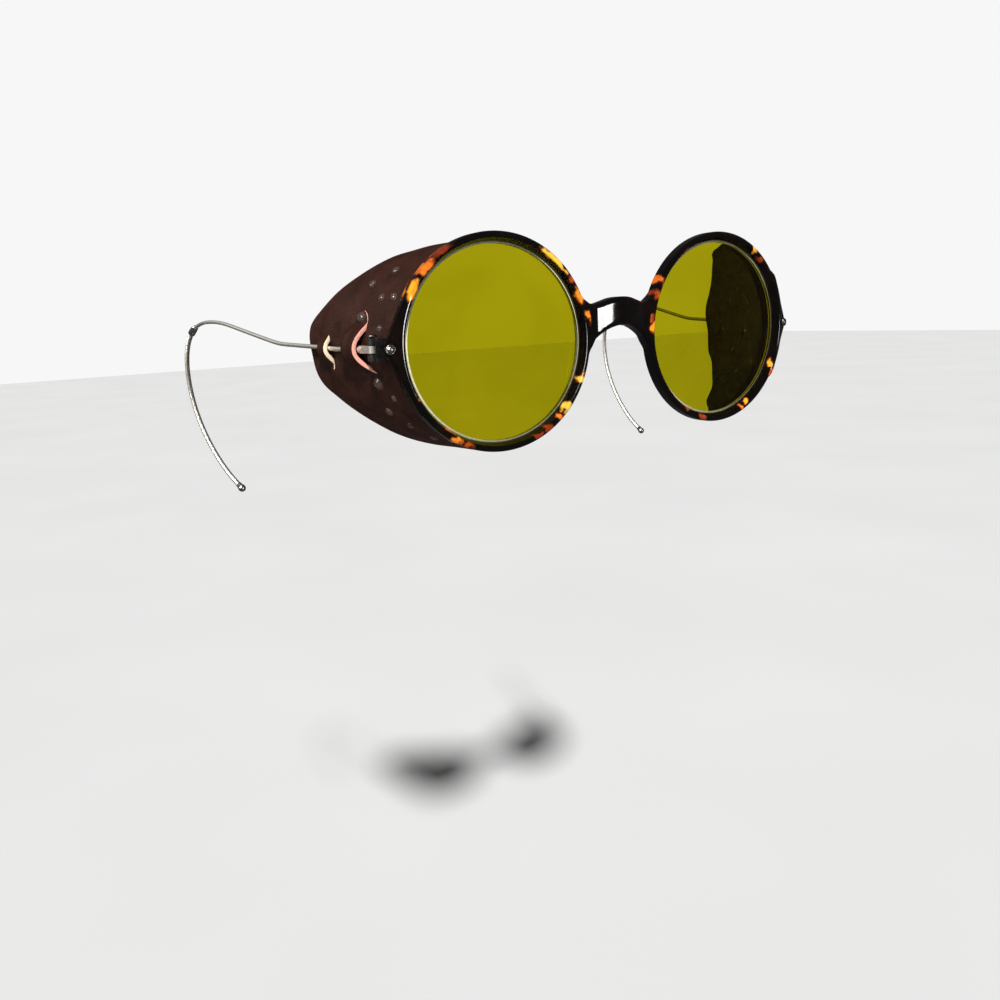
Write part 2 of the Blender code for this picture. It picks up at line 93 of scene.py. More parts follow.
# ---- one-piece front: the CAD's, with softer edges and the bridge bowed further forward ----
WRAP = math.radians(2.0)  # each rim turns back towards its temple
RIM_FRONT = -1.8  # front and back faces of the rim, along its own axis
RIM_BACK = 2.0
RIM_MIDDLE = (RIM_FRONT + RIM_BACK) / 2
RIM_HALF = (RIM_BACK - RIM_FRONT) / 2
RIM_ROUND = 0.85  # rounding of the rim's outer edges
OPENING_RADIUS = 22.7
OPENING_ROUND = 0.45
OPENING_EASE = 0.3
GROOVE_RADIUS = 23.9  # the CAD's lens groove: its bottom and its middle plane
GROOVE_MIDDLE = 0.9
GROOVE_FILL = 1.1  # half the width of what fills it
LIP_BEVEL = (0.95, 1.85)  # of the opening's front edge: along the radius, and deep
LIP_EASE = 0.25
END_ROOT = 22.0  # from the lens centre to where the end piece sweeps back
END_SWEEP = math.radians(12.9)
END_LENGTH = 6.1  # from the root to the apex
END_APEX_Z = 0.35  # the apex above the lens centre
END_APEX_EASE = 1.6  # easing of the apex, seen from the front
END_ROUND = 0.8  # rounding of its front and back edges
END_OVERLAP = 1.5  # how far its blank reaches into the rim
END_FILLET = 0.9  # fillets where the end piece and the bridge meet the rims
BRIDGE_FILLET = 0.6
# (x, top z, underside z, front y, back y) of the bridge, from its middle to inside a rim
BRIDGE = [
    (0.0, 6.85, 0.0, -4.12, 0.7), (2.6, 6.65, -0.4, -3.85, 0.8), (5.0, 6.0, -1.4, -3.3, 1.0),
    (7.3, 5.4, -3.0, -2.66, 1.2), (8.2, 5.45, -4.1, -2.68, 1.35), (9.2, 5.7, -5.6, -2.68, 1.5),
    (11.4, 7.2, -8.0, -2.6, 1.7),
]
BRIDGE_CORNER = 1.15
BRIDGE_END = BRIDGE[-1][0] + 0.8
SKIN = 0.25  # mesh spacing
POLISH_ROUNDS = 6  # evening out of its points
POLISH_SHARE = 0.6

# amber patches of each rim: (degrees above the temple side, radius, length, width, hue 0 to 1)
PATCHES = {
    "right": [
        (57, 24.7, 5.0, 1.3, 0.0), (45, 24.5, 4.6, 2.1, 0.35), (31, 24.4, 4.8, 2.4, 0.6),
        (3, 23.0, 2.0, 0.9, 0.1), (-12, 23.0, 1.6, 0.7, 0.1), (-27, 23.9, 1.2, 0.9, 0.05),
        (-52, 23.2, 3.6, 0.9, 0.15), (-59, 24.2, 2.8, 1.9, 0.45), (-66, 24.2, 3.0, 1.4, 0.05),
        (-112, 24.0, 2.2, 1.2, 0.0), (-120, 24.0, 3.2, 1.8, 0.05), (-130, 24.0, 2.2, 2.0, 0.4),
        (-137, 24.0, 3.0, 2.6, 0.95), (-156, 24.1, 2.6, 3.0, 0.95), (168, 24.8, 3.2, 1.6, 0.45),
        (155, 24.0, 4.2, 1.6, 0.5), (146, 24.2, 3.0, 1.6, 0.15), (130, 24.0, 11.0, 1.3, 0.9),
    ],
    "left": [
        (148, 24.6, 2.2, 2.0, 0.35), (157, 24.0, 3.0, 2.0, 0.05), (172, 24.6, 2.0, 1.4, 0.05),
        (177, 24.0, 2.6, 2.4, 0.55), (184, 23.2, 1.6, 1.0, 0.1), (57, 24.1, 1.9, 2.2, 0.7),
        (49, 23.6, 3.2, 1.2, 0.05), (-27, 23.5, 2.6, 1.2, 0.7), (-33, 24.4, 2.0, 1.0, 0.2),
        (-62, 23.4, 2.4, 1.1, 0.65), (-68, 23.8, 2.0, 1.3, 0.4), (-105, 24.0, 2.8, 1.6, 0.1),
        (-121, 23.6, 2.6, 1.2, 0.0), (-135, 23.4, 2.0, 0.8, 0.0), (124, 23.4, 3.0, 1.2, 0.0),
        (-158, 23.2, 1.8, 0.8, 0.0),
    ],
}
WALL_SPREAD = 0.35  # how much further the patches reach round the rim's outer wall
WALL_BAND = 0.4
WARP_SCALE = 0.55  # noise that frays the patches, along and across
WARP_ALONG = 1.1
WARP_ACROSS = 0.45
WARP_SEED = 7  # or else the noise starts from the clock

# ---- lens ----
LENS_HALF_EDGE = 0.8
LENS_BEVEL = 1.0
LENS_HALF_FLAT = 0.08  # at the very edge
LENS_SAG = 1.1  # how far the middle stands in front of the edge

# ---- hinge, in the end piece's own directions ----
RIVET_OUT = 4.4  # from the end piece's root
RIVET_SHANK = 0.7
WASHER_RADIUS = 1.12
GAP = 0.3  # clearance on each side of the hinge leaf
LEAF_THICKNESS = 0.6
EDGE_SOFTENING = 0.07  # bevel on the edges of the CAD's hinge pieces

# ---- temple, along its own direction s from the hinge axis, with z from the hinge ----
SPLAY = math.radians(11.0)
BUTT_END_Y = 14.9  # where the hinge's socket for the wire ends
BUTT_RADIUS = 0.78
WIRE_RADIUS = 0.53
CABLE_RADIUS = 0.75
FERRULE_RADIUS = 1.05
FERRULE_LENGTH = 4.0
TIP_RADIUS = 1.1
TIP_LENGTH = 3.2
WIRE_END = 88.0  # length of plain wire before the ferrule
JOIN = 0.8  # of wire and cable into ferrule and tip
TEMPLE_ROUTE = [
    (8.3, 0.0), (16.0, 0.15), (24.5, 0.6), (34.0, 1.0), (43.3, 1.5), (52.0, 2.9), (64.0, 5.1),
    (75.2, 7.1), (83.5, 7.8), (91.0, 7.5), (97.0, 5.9), (101.6, 2.9), (104.6, -1.2),
    (106.0, -6.4), (105.6, -12.4), (103.4, -18.8), (99.0, -25.4), (92.6, -31.6),
    (84.6, -37.0), (75.1, -41.3),
]
COIL_WIRE = 0.2  # radius of the wire wound into the ear cable
COIL_PITCH = 0.405
COIL_STEPS = 11  # points in each turn

# ---- leather side shield ----
SHIELD_RADIUS = 23.9
SHIELD_BELLY = 0.6  # how much fuller its section is towards the bottom
SHIELD_FLARE = 0.262  # how far it spreads outwards for each length it goes back
SHIELD_START = 3.0  # where the flare starts
CONE_LEAN = 0.96  # share of a sideways gap that lies along the cone's normal
FRONT_EDGE_Y = 3.15  # the hide's front edge, and its notch at the end piece
NOTCH_DEPTH = 0.3
NOTCH_HALF = 6.0
LEATHER = 1.1  # thickness
LEATHER_EASE = 0.14  # rounding of its cut edges
SHIELD_SPACING = 0.55
# (degrees above the temple, y) round the leather, from its top front corner to the bottom one
SHIELD_EDGE = [
    (72, 3.2), (70.5, 5.5), (68, 9), (64.5, 13), (61, 17.2), (54, 20.2), (46, 23.8), (36, 27.9),
    (24, 32.5), (18, 34.8), (13, 36.0), (5, 36.3), (-5, 35.3), (-15, 34.5), (-22, 33.0),
    (-29, 29.8), (-41, 25.5), (-50, 22.0), (-58, 20.0), (-66, 17.5), (-74, 12.5), (-80, 7.4),
    (-82, 3.0),
]
# slits that let the wire through: (height above the lens centre, y) from top to bottom
FRONT_SLIT = [
    (8.8, 15.0), (7.7, 13.6), (5.7, 12.8), (3.1, 12.9), (1.0, 13.2), (-0.6, 13.2), (-2.2, 12.7),
    (-3.6, 11.9), (-5.0, 10.4),
]
MIDDLE_SLIT = [(6.2, 18.6), (3.0, 18.4), (0.0, 18.5), (-2.6, 18.2), (-4.6, 16.4), (-5.4, 13.6)]
THIRD_SLIT = [(3.4, 27.6), (1.4, 26.2), (-0.6, 25.8), (-2.6, 26.0), (-4.4, 26.6)]
REAR_SLIT = [(3.4, 30.4), (1.2, 29.2), (-0.8, 29.0), (-3.0, 29.6)]
# vents: (y, height above the lens centre, size)
VENTS = {
    "right": [
        (16.4, 14.5, 0.9), (11.4, 17.2, 0.9), (10.5, 11.3, 0.85), (6.4, 11.3, 0.9),
        (15.9, 7.3, 1.3), (8.5, 4.6, 0.75), (11.4, -7.4, 1.45), (8.3, -10.8, 0.7),
        (13.2, -14.1, 1.0), (9.9, -17.3, 0.8), (6.6, -20.0, 0.8),
    ],
    "left": [
        (7.7, 19.8, 0.8), (17.2, 10.8, 0.9), (7.8, 11.4, 0.9), (22.3, 6.4, 0.8),
        (20.4, -7.2, 1.0), (8.4, -10.8, 1.2), (19.5, -15.6, 0.8), (12.6, 3.8, 0.8),
        (14.2, -13.4, 1.0), (11.0, 17.0, 0.9), (12.0, -19.4, 0.8),
    ],
}
VENT_RINGS = (0.34, 0.48, 0.66, 0.88, 1.13, 1.42)  # rings of points round a vent of size 1
VENT_HOLE = 0.22  # radius of the hole, and how far its burr is pushed out
VENT_RISE = 0.55
BURR_RADIUS = 0.35
WIRE_ABOVE = 0.3  # of the wire above the hinge, where it crosses the hide
WIRE_CLEAR = 0.4  # between the wire and the hide under it
WIRE_TROUGH = 5.2  # half width of the hide's trough for the wire
LEAF_DENT = 0.5  # how far the hide is pressed in behind the hinge leaf
LEAF_DENT_Y = 4.2
LEAF_DENT_HALF = (3.4, 1.6)  # its half height and half depth
TUCK = 3.5  # how far the hide reaches in under the wide strip, from the front
TUCK_SHARE = 0.6  # share of that from behind, and for the narrow strip
TUCK_FADE = 2.2
WAVE = 0.10  # slow waves over the whole hide


# ==== making meshes ====

def link(obj):
    bpy.context.scene.collection.objects.link(obj)
    return obj


def mesh_object(name, points, faces, finishes, indices=None, sharp=40):
    """A piece from points in millimetres. finishes are its materials, indices one per face."""
    mesh = bpy.data.meshes.new(name)
    mesh.from_pydata((np.asarray(points, float) * MM).tolist(), [], [list(f) for f in faces])
    for finish in finishes:
        mesh.materials.append(finish)
    if indices is not None:
        mesh.polygons.foreach_set("material_index", np.asarray(indices, np.int32))
    bm = bmesh.new()
    bm.from_mesh(mesh)
    bmesh.ops.recalc_face_normals(bm, faces=bm.faces)
    bm.to_mesh(mesh)
    bm.free()
    mesh.shade_smooth()
    mesh.set_sharp_from_angle(angle=math.radians(sharp))
    return link(bpy.data.objects.new(name, mesh))


def keep_values(mesh, name, values):
    """Keeps a number or a place for each point, which the materials read."""
    kind, key = ("FLOAT", "value") if values.ndim == 1 else ("FLOAT_VECTOR", "vector")
    layer = mesh.attributes.new(name, kind, "POINT")
    layer.data.foreach_set(key, values.ravel().astype(np.float32))


def smooth_line(points, share=12):
    """Points on the smooth curve through `points` (Catmull-Rom), `share` to each stretch."""
    points = np.asarray(points, float)
    ends = np.vstack([2 * points[0] - points[1], points, 2 * points[-1] - points[-2]])
    fine = []
    for a, b, c, d in zip(ends, ends[1:], ends[2:], ends[3:]):
        for t in np.arange(share) / share:
            fine.append(0.5 * (2 * b + (c - a) * t + (2 * a - 5 * b + 4 * c - d) * t * t
                               + (3 * b - a - 3 * c + d) * t ** 3))
    fine.append(points[-1])
    return np.array(fine)


def lengths(points):
    return np.concatenate([[0], np.cumsum(np.linalg.norm(np.diff(points, axis=0), axis=1))])


def read_at(at, travelled, rows):
    """Rows of numbers given at `travelled`, read at other places."""
    return np.column_stack([np.interp(at, travelled, column) for column in rows.T])


def stretch(points, start, end, spacing):
    """The part of a line from `start` to `end` along it, its points about `spacing` apart."""
    at = np.linspace(start, end, max(2, round((end - start) / spacing) + 1))
    return read_at(at, lengths(points), points)


def even(points, spacing):
    """The same line with its points about `spacing` apart."""
    return stretch(points, 0, lengths(points)[-1], spacing)


def ring_faces(count, rings, closed=False):
    """Quads between rings of `count` points each."""
    faces = []
    for k in range(rings if closed else rings - 1):
        a, b = k * count, (k + 1) % rings * count
        for i in range(count):
            j = (i + 1) % count
            faces.append((a + i, a + j, b + j, b + i))
    return faces


def frames_along(path):
    """Tangents and two sideways directions that don't twist along the path."""
    tangent = np.gradient(path, axis=0)
    tangent /= np.linalg.norm(tangent, axis=1)[:, None]
    first = np.cross(tangent[0], (0.0, 0.0, 1.0))
    if np.linalg.norm(first) < 0.1:
        first = np.cross(tangent[0], (1.0, 0.0, 0.0))
    across = [first / np.linalg.norm(first)]
    for t in tangent[1:]:
        moved = across[-1] - t * np.dot(across[-1], t)
        across.append(moved / np.linalg.norm(moved))
    across = np.array(across)
    return tangent, across, np.cross(tangent, across)


def tube(name, path, radius, finish, sides=16, rounded=0.0):
    """A round bar along a path; radius is one number or one for each point."""
    radius = np.broadcast_to(np.asarray(radius, float), (len(path),)).copy()
    tangent, across, up = frames_along(path)
    if rounded:
        path = np.vstack([path[:1], path[:1] + tangent[:1] * rounded, path[1:]])
        radius = np.concatenate([[radius[0] - rounded], [radius[0]], radius[1:]])
        tangent, across, up = (np.vstack([v[:1], v]) for v in (tangent, across, up))
    turn = (2 * np.pi * np.arange(sides) / sides)[None, :, None]
    circle = across[:, None] * np.cos(turn) + up[:, None] * np.sin(turn)
    points = (path[:, None] + circle * radius[:, None, None]).reshape(-1, 3)
    faces = ring_faces(sides, len(path))
    faces += [tuple(range(sides))[::-1], tuple(range(len(points) - sides, len(points)))]
    return mesh_object(name, points, faces, [finish], sharp=50)


def eased(profile, radius, steps=4):
    """An open outline with its inner corners rounded by up to `radius`."""
    profile = np.asarray(profile, float)
    out = [profile[0]]
    for a, b, c in zip(profile, profile[1:], profile[2:]):
        before, after = a - b, c - b
        reach = min(radius, np.linalg.norm(before) * 0.45, np.linalg.norm(after) * 0.45)
        start = b + before / np.linalg.norm(before) * reach
        end = b + after / np.linalg.norm(after) * reach
        for t in np.linspace(0, 1, steps + 1):
            out.append(start * (1 - t) ** 2 + 2 * b * t * (1 - t) + end * t * t)
    out.append(profile[-1])
    return np.array(out)


def turned(name, profile, base, axis, finishes, steps=64, index=None, sharp=35):
    """Turns (radius, height) points about an axis through base. Ends on the axis are closed;
    a profile that stays off the axis is a closed ring. index(i) is the material of strip i."""
    profile = np.asarray(profile, float)
    ring = profile[0][0] > 1e-6
    inner = profile if ring else profile[1:-1]
    turn = 2 * np.pi * np.arange(steps) / steps
    z = Vector(axis).normalized()
    basis = np.array(z.to_track_quat("Z", "Y").to_matrix())
    local = np.array([(r * np.cos(t), r * np.sin(t), h) for r, h in inner for t in turn])
    faces = ring_faces(steps, len(inner), closed=ring)
    strips = len(inner) if ring else len(inner) - 1
    indices = [0 if index is None else index(k) for k in range(strips) for _ in range(steps)]
    if not ring:
        local = np.vstack([local, [(0, 0, profile[0][1]), (0, 0, profile[-1][1])]])
        first, last = len(local) - 2, len(local) - 1
        start = (len(inner) - 1) * steps
        for i in range(steps):
            j = (i + 1) % steps
            faces.append((first, j, i))
            faces.append((last, start + i, start + j))
            indices += [0, 0]
    points = np.asarray(base, float) + local @ basis.T
    return mesh_object(name, points, faces, finishes, indices, sharp)


# ==== materials ====

def socket_name(word):
    """The shader's socket for a keyword: base_color is Base Color."""
    return word.replace("_", " ").title().replace("Ior", "IOR")


class Nodes:
    """Adds shader nodes to a tree, with their values or links."""

    def __init__(self, owner):
        owner.use_nodes = True
        self.tree = owner.node_tree

    def node(self, kind, inputs=(), **settings):
        made = self.tree.nodes.new("ShaderNode" + kind)
        for key, value in settings.items():
            setattr(made, key, value)
        for key, value in dict(inputs).items():
            if isinstance(value, bpy.types.NodeSocket):
                self.tree.links.new(value, made.inputs[key])
            else:
                made.inputs[key].default_value = value
        return made

    def maths(self, operation, a, b=0.0, clamp=False):
        return self.node("Math", {0: a, 1: b}, operation=operation, use_clamp=clamp).outputs[0]

    def spread(self, value, low, high):
        inputs = {"Value": value, "To Min": low, "To Max": high}
        return self.node("MapRange", inputs).outputs["Result"]


class Finish(Nodes):
    """A procedural material: a Principled shader and helpers that add the nodes behind it."""

    def __init__(self, name, coordinates="object", **values):
        self.material = bpy.data.materials.new(name)
        super().__init__(self.material)
        self.shader = self.tree.nodes["Principled BSDF"]
        for key, value in values.items():
            self.shader.inputs[socket_name(key)].default_value = value
        if coordinates == "object":
            self.place = self.node("TexCoord").outputs["Object"]
        else:
            self.place = self.attribute(coordinates, "Vector")

    def attribute(self, name, output="Fac"):
        return self.node("Attribute", attribute_name=name).outputs[output]

    def noise(self, scale, detail=3.0, rough=0.5, distortion=0.0):
        inputs = {"Vector": self.place, "Scale": scale, "Detail": detail, "Roughness": rough,
                  "Distortion": distortion}
        return self.node("TexNoise", inputs).outputs["Fac"]

    def cell_edges(self, scale):
        inputs = {"Vector": self.place, "Scale": scale}
        return self.node("TexVoronoi", inputs, feature="DISTANCE_TO_EDGE").outputs["Distance"]

    def ramp(self, value, *stops):
        made = self.node("ValToRGB", {"Fac": value})
        elements = made.color_ramp.elements
        while len(elements) < len(stops):
            elements.new(0.5)
        for element, (position, colour) in zip(elements, stops):
            element.position = position
            element.color = (*colour, 1.0)
        return made.outputs["Color"]

    def mix(self, share, a, b):
        a, b = (c if isinstance(c, bpy.types.NodeSocket) else (*c, 1.0) for c in (a, b))
        return self.node("Mix", {0: share, 6: a, 7: b}, data_type="RGBA").outputs[2]

    def bump(self, height, depth, under=None):
        """Bump of `depth` millimetres, on top of another bump's normal if one is given."""
        inputs = {"Height": height, "Strength": 1.0, "Distance": depth * MM}
        if under is not None:
            inputs["Normal"] = under
        return self.node("Bump", inputs).outputs["Normal"]

    def give(self, **sockets):
        for key, value in sockets.items():
            self.tree.links.new(value, self.shader.inputs[socket_name(key)])
        return self.material


def tortoiseshell():
    """Polished dark acetate with amber patches where the mesh's `amber` attribute is high."""
    f = Finish("tortoiseshell", ior=1.46)
    ragged = f.spread(f.noise(520, 5, 0.65, 0.5), -0.75, 0.75)
    amount = f.maths("ADD", f.attribute("amber"), ragged)
    edge = f.maths("MULTIPLY", f.maths("SUBTRACT", amount, 0.30), 4.0, True)
    share = f.maths("MULTIPLY", f.maths("SUBTRACT", amount, 0.55), 2.6, True)
    hue = f.maths("ADD", f.attribute("hue"), f.spread(f.noise(700, 2), -0.22, 0.22), True)
    amber = f.ramp(hue, (0.0, (0.20, 0.022, 0.004)), (0.35, (0.80, 0.15, 0.012)),
                   (0.65, (0.90, 0.36, 0.02)), (1.0, (0.80, 0.50, 0.06)))
    cloud = f.ramp(f.noise(160, 5, 0.65, 0.8), (0.50, (0.0016, 0.0009, 0.0008)),
                   (0.72, (0.006, 0.0022, 0.0012)))
    stained = f.mix(edge, cloud, (0.075, 0.011, 0.003))
    colour = f.mix(share, stained, amber)
    wear = f.bump(f.noise(2600, 2), 0.003)
    polish = f.spread(f.noise(900, 4), 0.05, 0.14)
    return f.give(base_color=colour, roughness=polish, normal=wear)


def lens_glass():
    f = Finish("lens_glass", roughness=0.0, ior=1.25, transmission_weight=1.0)
    tint = f.ramp(f.noise(45, 2, 0.5, 0.6), (0.3, (0.40, 0.35, 0.003)), (0.7, (0.34, 0.31, 0.002)))
    return f.give(base_color=tint, normal=f.bump(f.noise(60, 1), 0.01))


def ground_edge():
    f = Finish("ground_lens_edge", roughness=0.7)
    chalk = f.ramp(f.noise(1500, 4, 0.7), (0.3, (0.55, 0.52, 0.26)), (0.7, (0.85, 0.83, 0.62)))
    return f.give(base_color=chalk, normal=f.bump(f.noise(3500, 3), 0.02))


def leather():
    """Smooth dressed hide: fine pebbled grain, soft mottling, a waxy shine, and on each vent's burr
    a paler grey that is partly worn leather and partly a painted sheen.
    """
    f = Finish("leather", coordinates="flat", ior=1.34)
    tone = f.ramp(f.noise(160, 5, 0.6, 0.3), (0.30, (0.024, 0.0082, 0.0052)),
                  (0.52, (0.040, 0.0138, 0.0084)), (0.75, (0.054, 0.0205, 0.0130)))
    crease = f.ramp(f.cell_edges(2300), (0.0, (0.0, 0.0, 0.0)), (0.16, (1.0, 1.0, 1.0)))
    colour = f.mix(f.spread(crease, 0.22, 0.0), tone, (0.018, 0.006, 0.005))
    burr_wear_and_sheen = f.attribute("burr")
    # the paler grey on the burrs is partly worn leather and partly a painted sheen on the raised
    # vents
    colour = f.mix(f.maths("MULTIPLY", burr_wear_and_sheen, 0.35), colour, (0.13, 0.10, 0.088))
    shine = f.maths("SUBTRACT", f.spread(f.noise(240, 4, 0.6), 0.36, 0.56),
                    f.maths("MULTIPLY", burr_wear_and_sheen, 0.30))
    gloss = f.maths("ADD", f.maths("MULTIPLY", burr_wear_and_sheen, 0.5), 0.15)
    folds = f.bump(f.noise(300, 3, 0.5, 0.5), 0.10)
    grain = f.bump(crease, 0.035, folds)
    fine = f.bump(f.noise(5200, 2), 0.012, grain)
    return f.give(base_color=colour, roughness=shine, specular_ior_level=gloss, normal=fine)


def cut_leather(name, pale, deep):
    """The raw, undyed fibres of a fresh cut through the leather."""
    f = Finish(name, coordinates="flat", roughness=0.85, sheen_weight=0.3)
    fibre = f.ramp(f.noise(2600, 5, 0.75, 0.6), (0.32, deep), (0.66, pale))
    return f.give(base_color=fibre, normal=f.bump(f.noise(4200, 4, 0.7), 0.09))


def metal(name, bright, dull, low, high, lines=1400):
    f = Finish(name, metallic=1.0)
    stain = f.noise(lines, 4, 0.65, 0.3)
    colour = f.ramp(stain, (0.30, dull), (0.62, bright))
    worn = f.bump(f.noise(lines * 2.2, 3, 0.6), 0.008)
    return f.give(base_color=colour, roughness=f.spread(stain, high, low), normal=worn)


def pale_floor():
    f = Finish("studio_floor", roughness=0.9)
    tone = f.ramp(f.noise(3, 2), (0.3, (0.72, 0.72, 0.715)), (0.7, (0.75, 0.75, 0.745)))
    return f.give(base_color=tone)


# ==== polished acetate front ====

def rounded_corner(a, b, edge):
    """Distance to what lies inside both a and b; edge may differ from point to point."""
    a, b = a + edge, b + edge
    outside = np.hypot(np.maximum(a, 0), np.maximum(b, 0))
    return np.minimum(np.maximum(a, b), 0) + outside - edge


def rounded_box(a, b, half_a, half_b, edge):
    """Distance to a rounded rectangle."""
    return rounded_corner(np.abs(a) - half_a, np.abs(b) - half_b, edge)


def merged(a, b, reach):
    """Union of two distances with a fillet of about `reach`."""
    h = np.maximum(reach - np.abs(a - b), 0) / reach
    return np.minimum(a, b) - h * h * reach / 4


def removed(a, b, reach):
    """What is left of a outside b, with an eased edge."""
    return -merged(-a, b, reach)


def eye_frame(p):
    """x outwards to the temple, y back and z up, from the lens centre of the side p is on."""
    x, y, z = np.abs(p[:, 0]) - EYE_X, p[:, 1], p[:, 2] - EYE_Z
    c, s = math.cos(WRAP), math.sin(WRAP)
    return x * c + y * s, y * c - x * s, z


MIRRORED = [(-x, *rest) for x, *rest in BRIDGE[:0:-1]]
BRIDGE_X, *BRIDGE_SIDES = smooth_line(MIRRORED + BRIDGE).T


def bridge_section(x):
    """The bridge's top and underside z and its front and back y at x."""
    return [np.interp(np.abs(x), BRIDGE_X, values) for values in BRIDGE_SIDES]


def bridge_distance(p):
    """Distance to the bridge, which reaches a little way into each rim."""
    top, under, front, back = bridge_section(p[:, 0])
    section = rounded_box(p[:, 1] - (front + back) / 2, p[:, 2] - (top + under) / 2,
                          (back - front) / 2, (top - under) / 2, BRIDGE_CORNER)
    return np.maximum(section, np.abs(p[:, 0]) - BRIDGE_END)


def end_distance(x, y, z):
    """Distance to a triangular end piece, whose sides are tangents to the rim."""
    c, s = math.cos(END_SWEEP), math.sin(END_SWEEP)
    out, back = (x - END_ROOT) * c + y * s, y * c - (x - END_ROOT) * s
    half_angle = math.asin(RIM_RADIUS / (END_ROOT + END_LENGTH))
    across = (out - END_LENGTH) * math.sin(half_angle)
    rise = (z - END_APEX_Z) * math.cos(half_angle)
    outline = -merged(-(across + rise), -(across - rise), END_APEX_EASE)
    outline = np.maximum(outline, -out - END_OVERLAP)
    return rounded_corner(outline, np.abs(back - RIM_MIDDLE) - RIM_HALF, END_ROUND)


def front_distance(p):
    """Distance to the front's polished surface, negative inside."""
    x, y, z = eye_frame(p)
    radius = np.hypot(x, z)
    from_middle = radius - (OPENING_RADIUS + RIM_RADIUS) / 2
    edge = np.where(from_middle > 0, RIM_ROUND, OPENING_ROUND)
    rim = rounded_box(from_middle, y - RIM_MIDDLE, (RIM_RADIUS - OPENING_RADIUS) / 2, RIM_HALF, edge)
    solid = merged(rim, end_distance(x, y, z), END_FILLET)
    solid = merged(solid, bridge_distance(p), BRIDGE_FILLET)
    # the fillets are kept from bulging out in front of the rim and of the bridge
    bow = bridge_section(p[:, 0])[2]
    solid = np.maximum(solid, np.minimum(RIM_FRONT - y, bow - p[:, 1]))
    past = radius - OPENING_RADIUS
    solid = removed(solid, past, OPENING_EASE)
    wide, deep = LIP_BEVEL
    lip = (past * deep + (y - RIM_FRONT - deep) * wide) / math.hypot(wide, deep)
    return removed(solid, lip, LIP_EASE)


def pulled_to(points, distance, steps=3, span=0.02, longest=0.4):
    """Moves points onto the surface where distance is zero, by `longest` at most in a step."""
    for _ in range(steps):
        value = distance(points)
        slope = np.empty_like(points)
        for k, shift in enumerate(np.eye(3) * span):
            slope[:, k] = (distance(points + shift) - distance(points - shift)) / (2 * span)
        size = np.maximum((slope ** 2).sum(1), 0.2)
        step = slope * (value / size)[:, None]
        reach = np.linalg.norm(step, axis=1, keepdims=True)
        points = points - step * np.minimum(1, longest / np.maximum(reach, 1e-9))
    return points


def amber_marks(points):
    """How amber each point is, and of which hue."""
    x, _, z = eye_frame(points)
    radius, angle = np.hypot(x, z), np.degrees(np.arctan2(z, x))
    radius = radius - WALL_SPREAD * np.exp(-((radius - RIM_RADIUS) / WALL_BAND) ** 2)
    noise.seed_set(WARP_SEED)
    warp = np.array([noise.noise_vector(Vector(p * WARP_SCALE)) for p in points])
    angle = angle + np.degrees(warp[:, 0] * WARP_ALONG / radius)
    radius = radius + warp[:, 1] * WARP_ACROSS
    amber, hue = np.zeros(len(points)), np.zeros(len(points))
    for side, sign in SIDES.items():
        here = points[:, 0] * sign > 0
        for degrees, middle, length, width, shade in PATCHES[side]:
            along = np.radians((angle - degrees + 180) % 360 - 180) * middle
            reach = np.hypot(along / (length / 2), (radius - middle) / (width / 2))
            mark = np.where(here, np.clip(1.5 - reach, 0, 1), 0)
            hue = np.where(mark > amber, shade, hue)
            amber = np.maximum(amber, mark)
    return amber, hue


def fill_grooves(mesh, steps=120, sunk=0.2):
    """Closes the lens grooves, which the lenses hide, so that the opening's wall stays smooth."""
    turn = 2 * np.pi * np.arange(steps) / steps
    section = [(OPENING_RADIUS, -GROOVE_FILL), (GROOVE_RADIUS + sunk, -GROOVE_FILL),
               (GROOVE_RADIUS + sunk, GROOVE_FILL), (OPENING_RADIUS, GROOVE_FILL)]
    bm = bmesh.new()
    bm.from_mesh(mesh)
    for side in SIDES:
        ring = [eye_point(side, r * math.cos(t), GROOVE_MIDDLE + y, r * math.sin(t)) * MM
                for r, y in section for t in turn]
        corners = [bm.verts.new(point.tolist()) for point in ring]
        for face in ring_faces(len(turn), len(section), closed=True):
            bm.faces.new([corners[k] for k in face])
    bm.to_mesh(mesh)
    bm.free()


def read_rows(items, key, width, kind):
    rows = np.empty(len(items) * width, kind)
    items.foreach_get(key, rows)
    return rows.reshape(-1, width)


def build_front(finish):
    """The CAD front remeshed finely, then drawn onto the smooth polished form."""
    rough = link(bpy.data.objects.new("front_rough", frame["nodes"]["front_frame"].data.copy()))
    fill_grooves(rough.data)
    voxels = rough.modifiers.new("voxels", "REMESH")
    voxels.mode = "VOXEL"
    voxels.voxel_size = SKIN * MM
    depsgraph = bpy.context.evaluated_depsgraph_get()
    mesh = bpy.data.meshes.new_from_object(rough.evaluated_get(depsgraph))
    bpy.data.objects.remove(rough)
    points = read_rows(mesh.vertices, "co", 3, float) / MM
    edges = read_rows(mesh.edges, "vertices", 2, int)
    count = np.bincount(edges.ravel(), minlength=len(points))[:, None]
    points = pulled_to(points, front_distance)
    for _ in range(POLISH_ROUNDS):
        total = np.zeros_like(points)
        np.add.at(total, edges[:, 0], points[edges[:, 1]])
        np.add.at(total, edges[:, 1], points[edges[:, 0]])
        evened = points * (1 - POLISH_SHARE) + total / count * POLISH_SHARE
        points = pulled_to(evened, front_distance, 2)
    mesh.vertices.foreach_set("co", (points * MM).ravel())
    for name, values in zip(("amber", "hue"), amber_marks(points)):
        keep_values(mesh, name, values)
    mesh.materials.clear()
    mesh.materials.append(finish)
    mesh.update()
    mesh.shade_smooth()
    mesh.name = "acetate_front"
    front = link(bpy.data.objects.new("acetate_front", mesh))
    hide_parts("front_frame")
    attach(front, "front")


# ==== places on the two sides ====

def eye_point(side, x, y, z):
    """A point given in a lens's own directions."""
    c, s = math.cos(WRAP), math.sin(WRAP)
    return np.array([SIDES[side] * (EYE_X + x * c - y * s), x * s + y * c, EYE_Z + z])


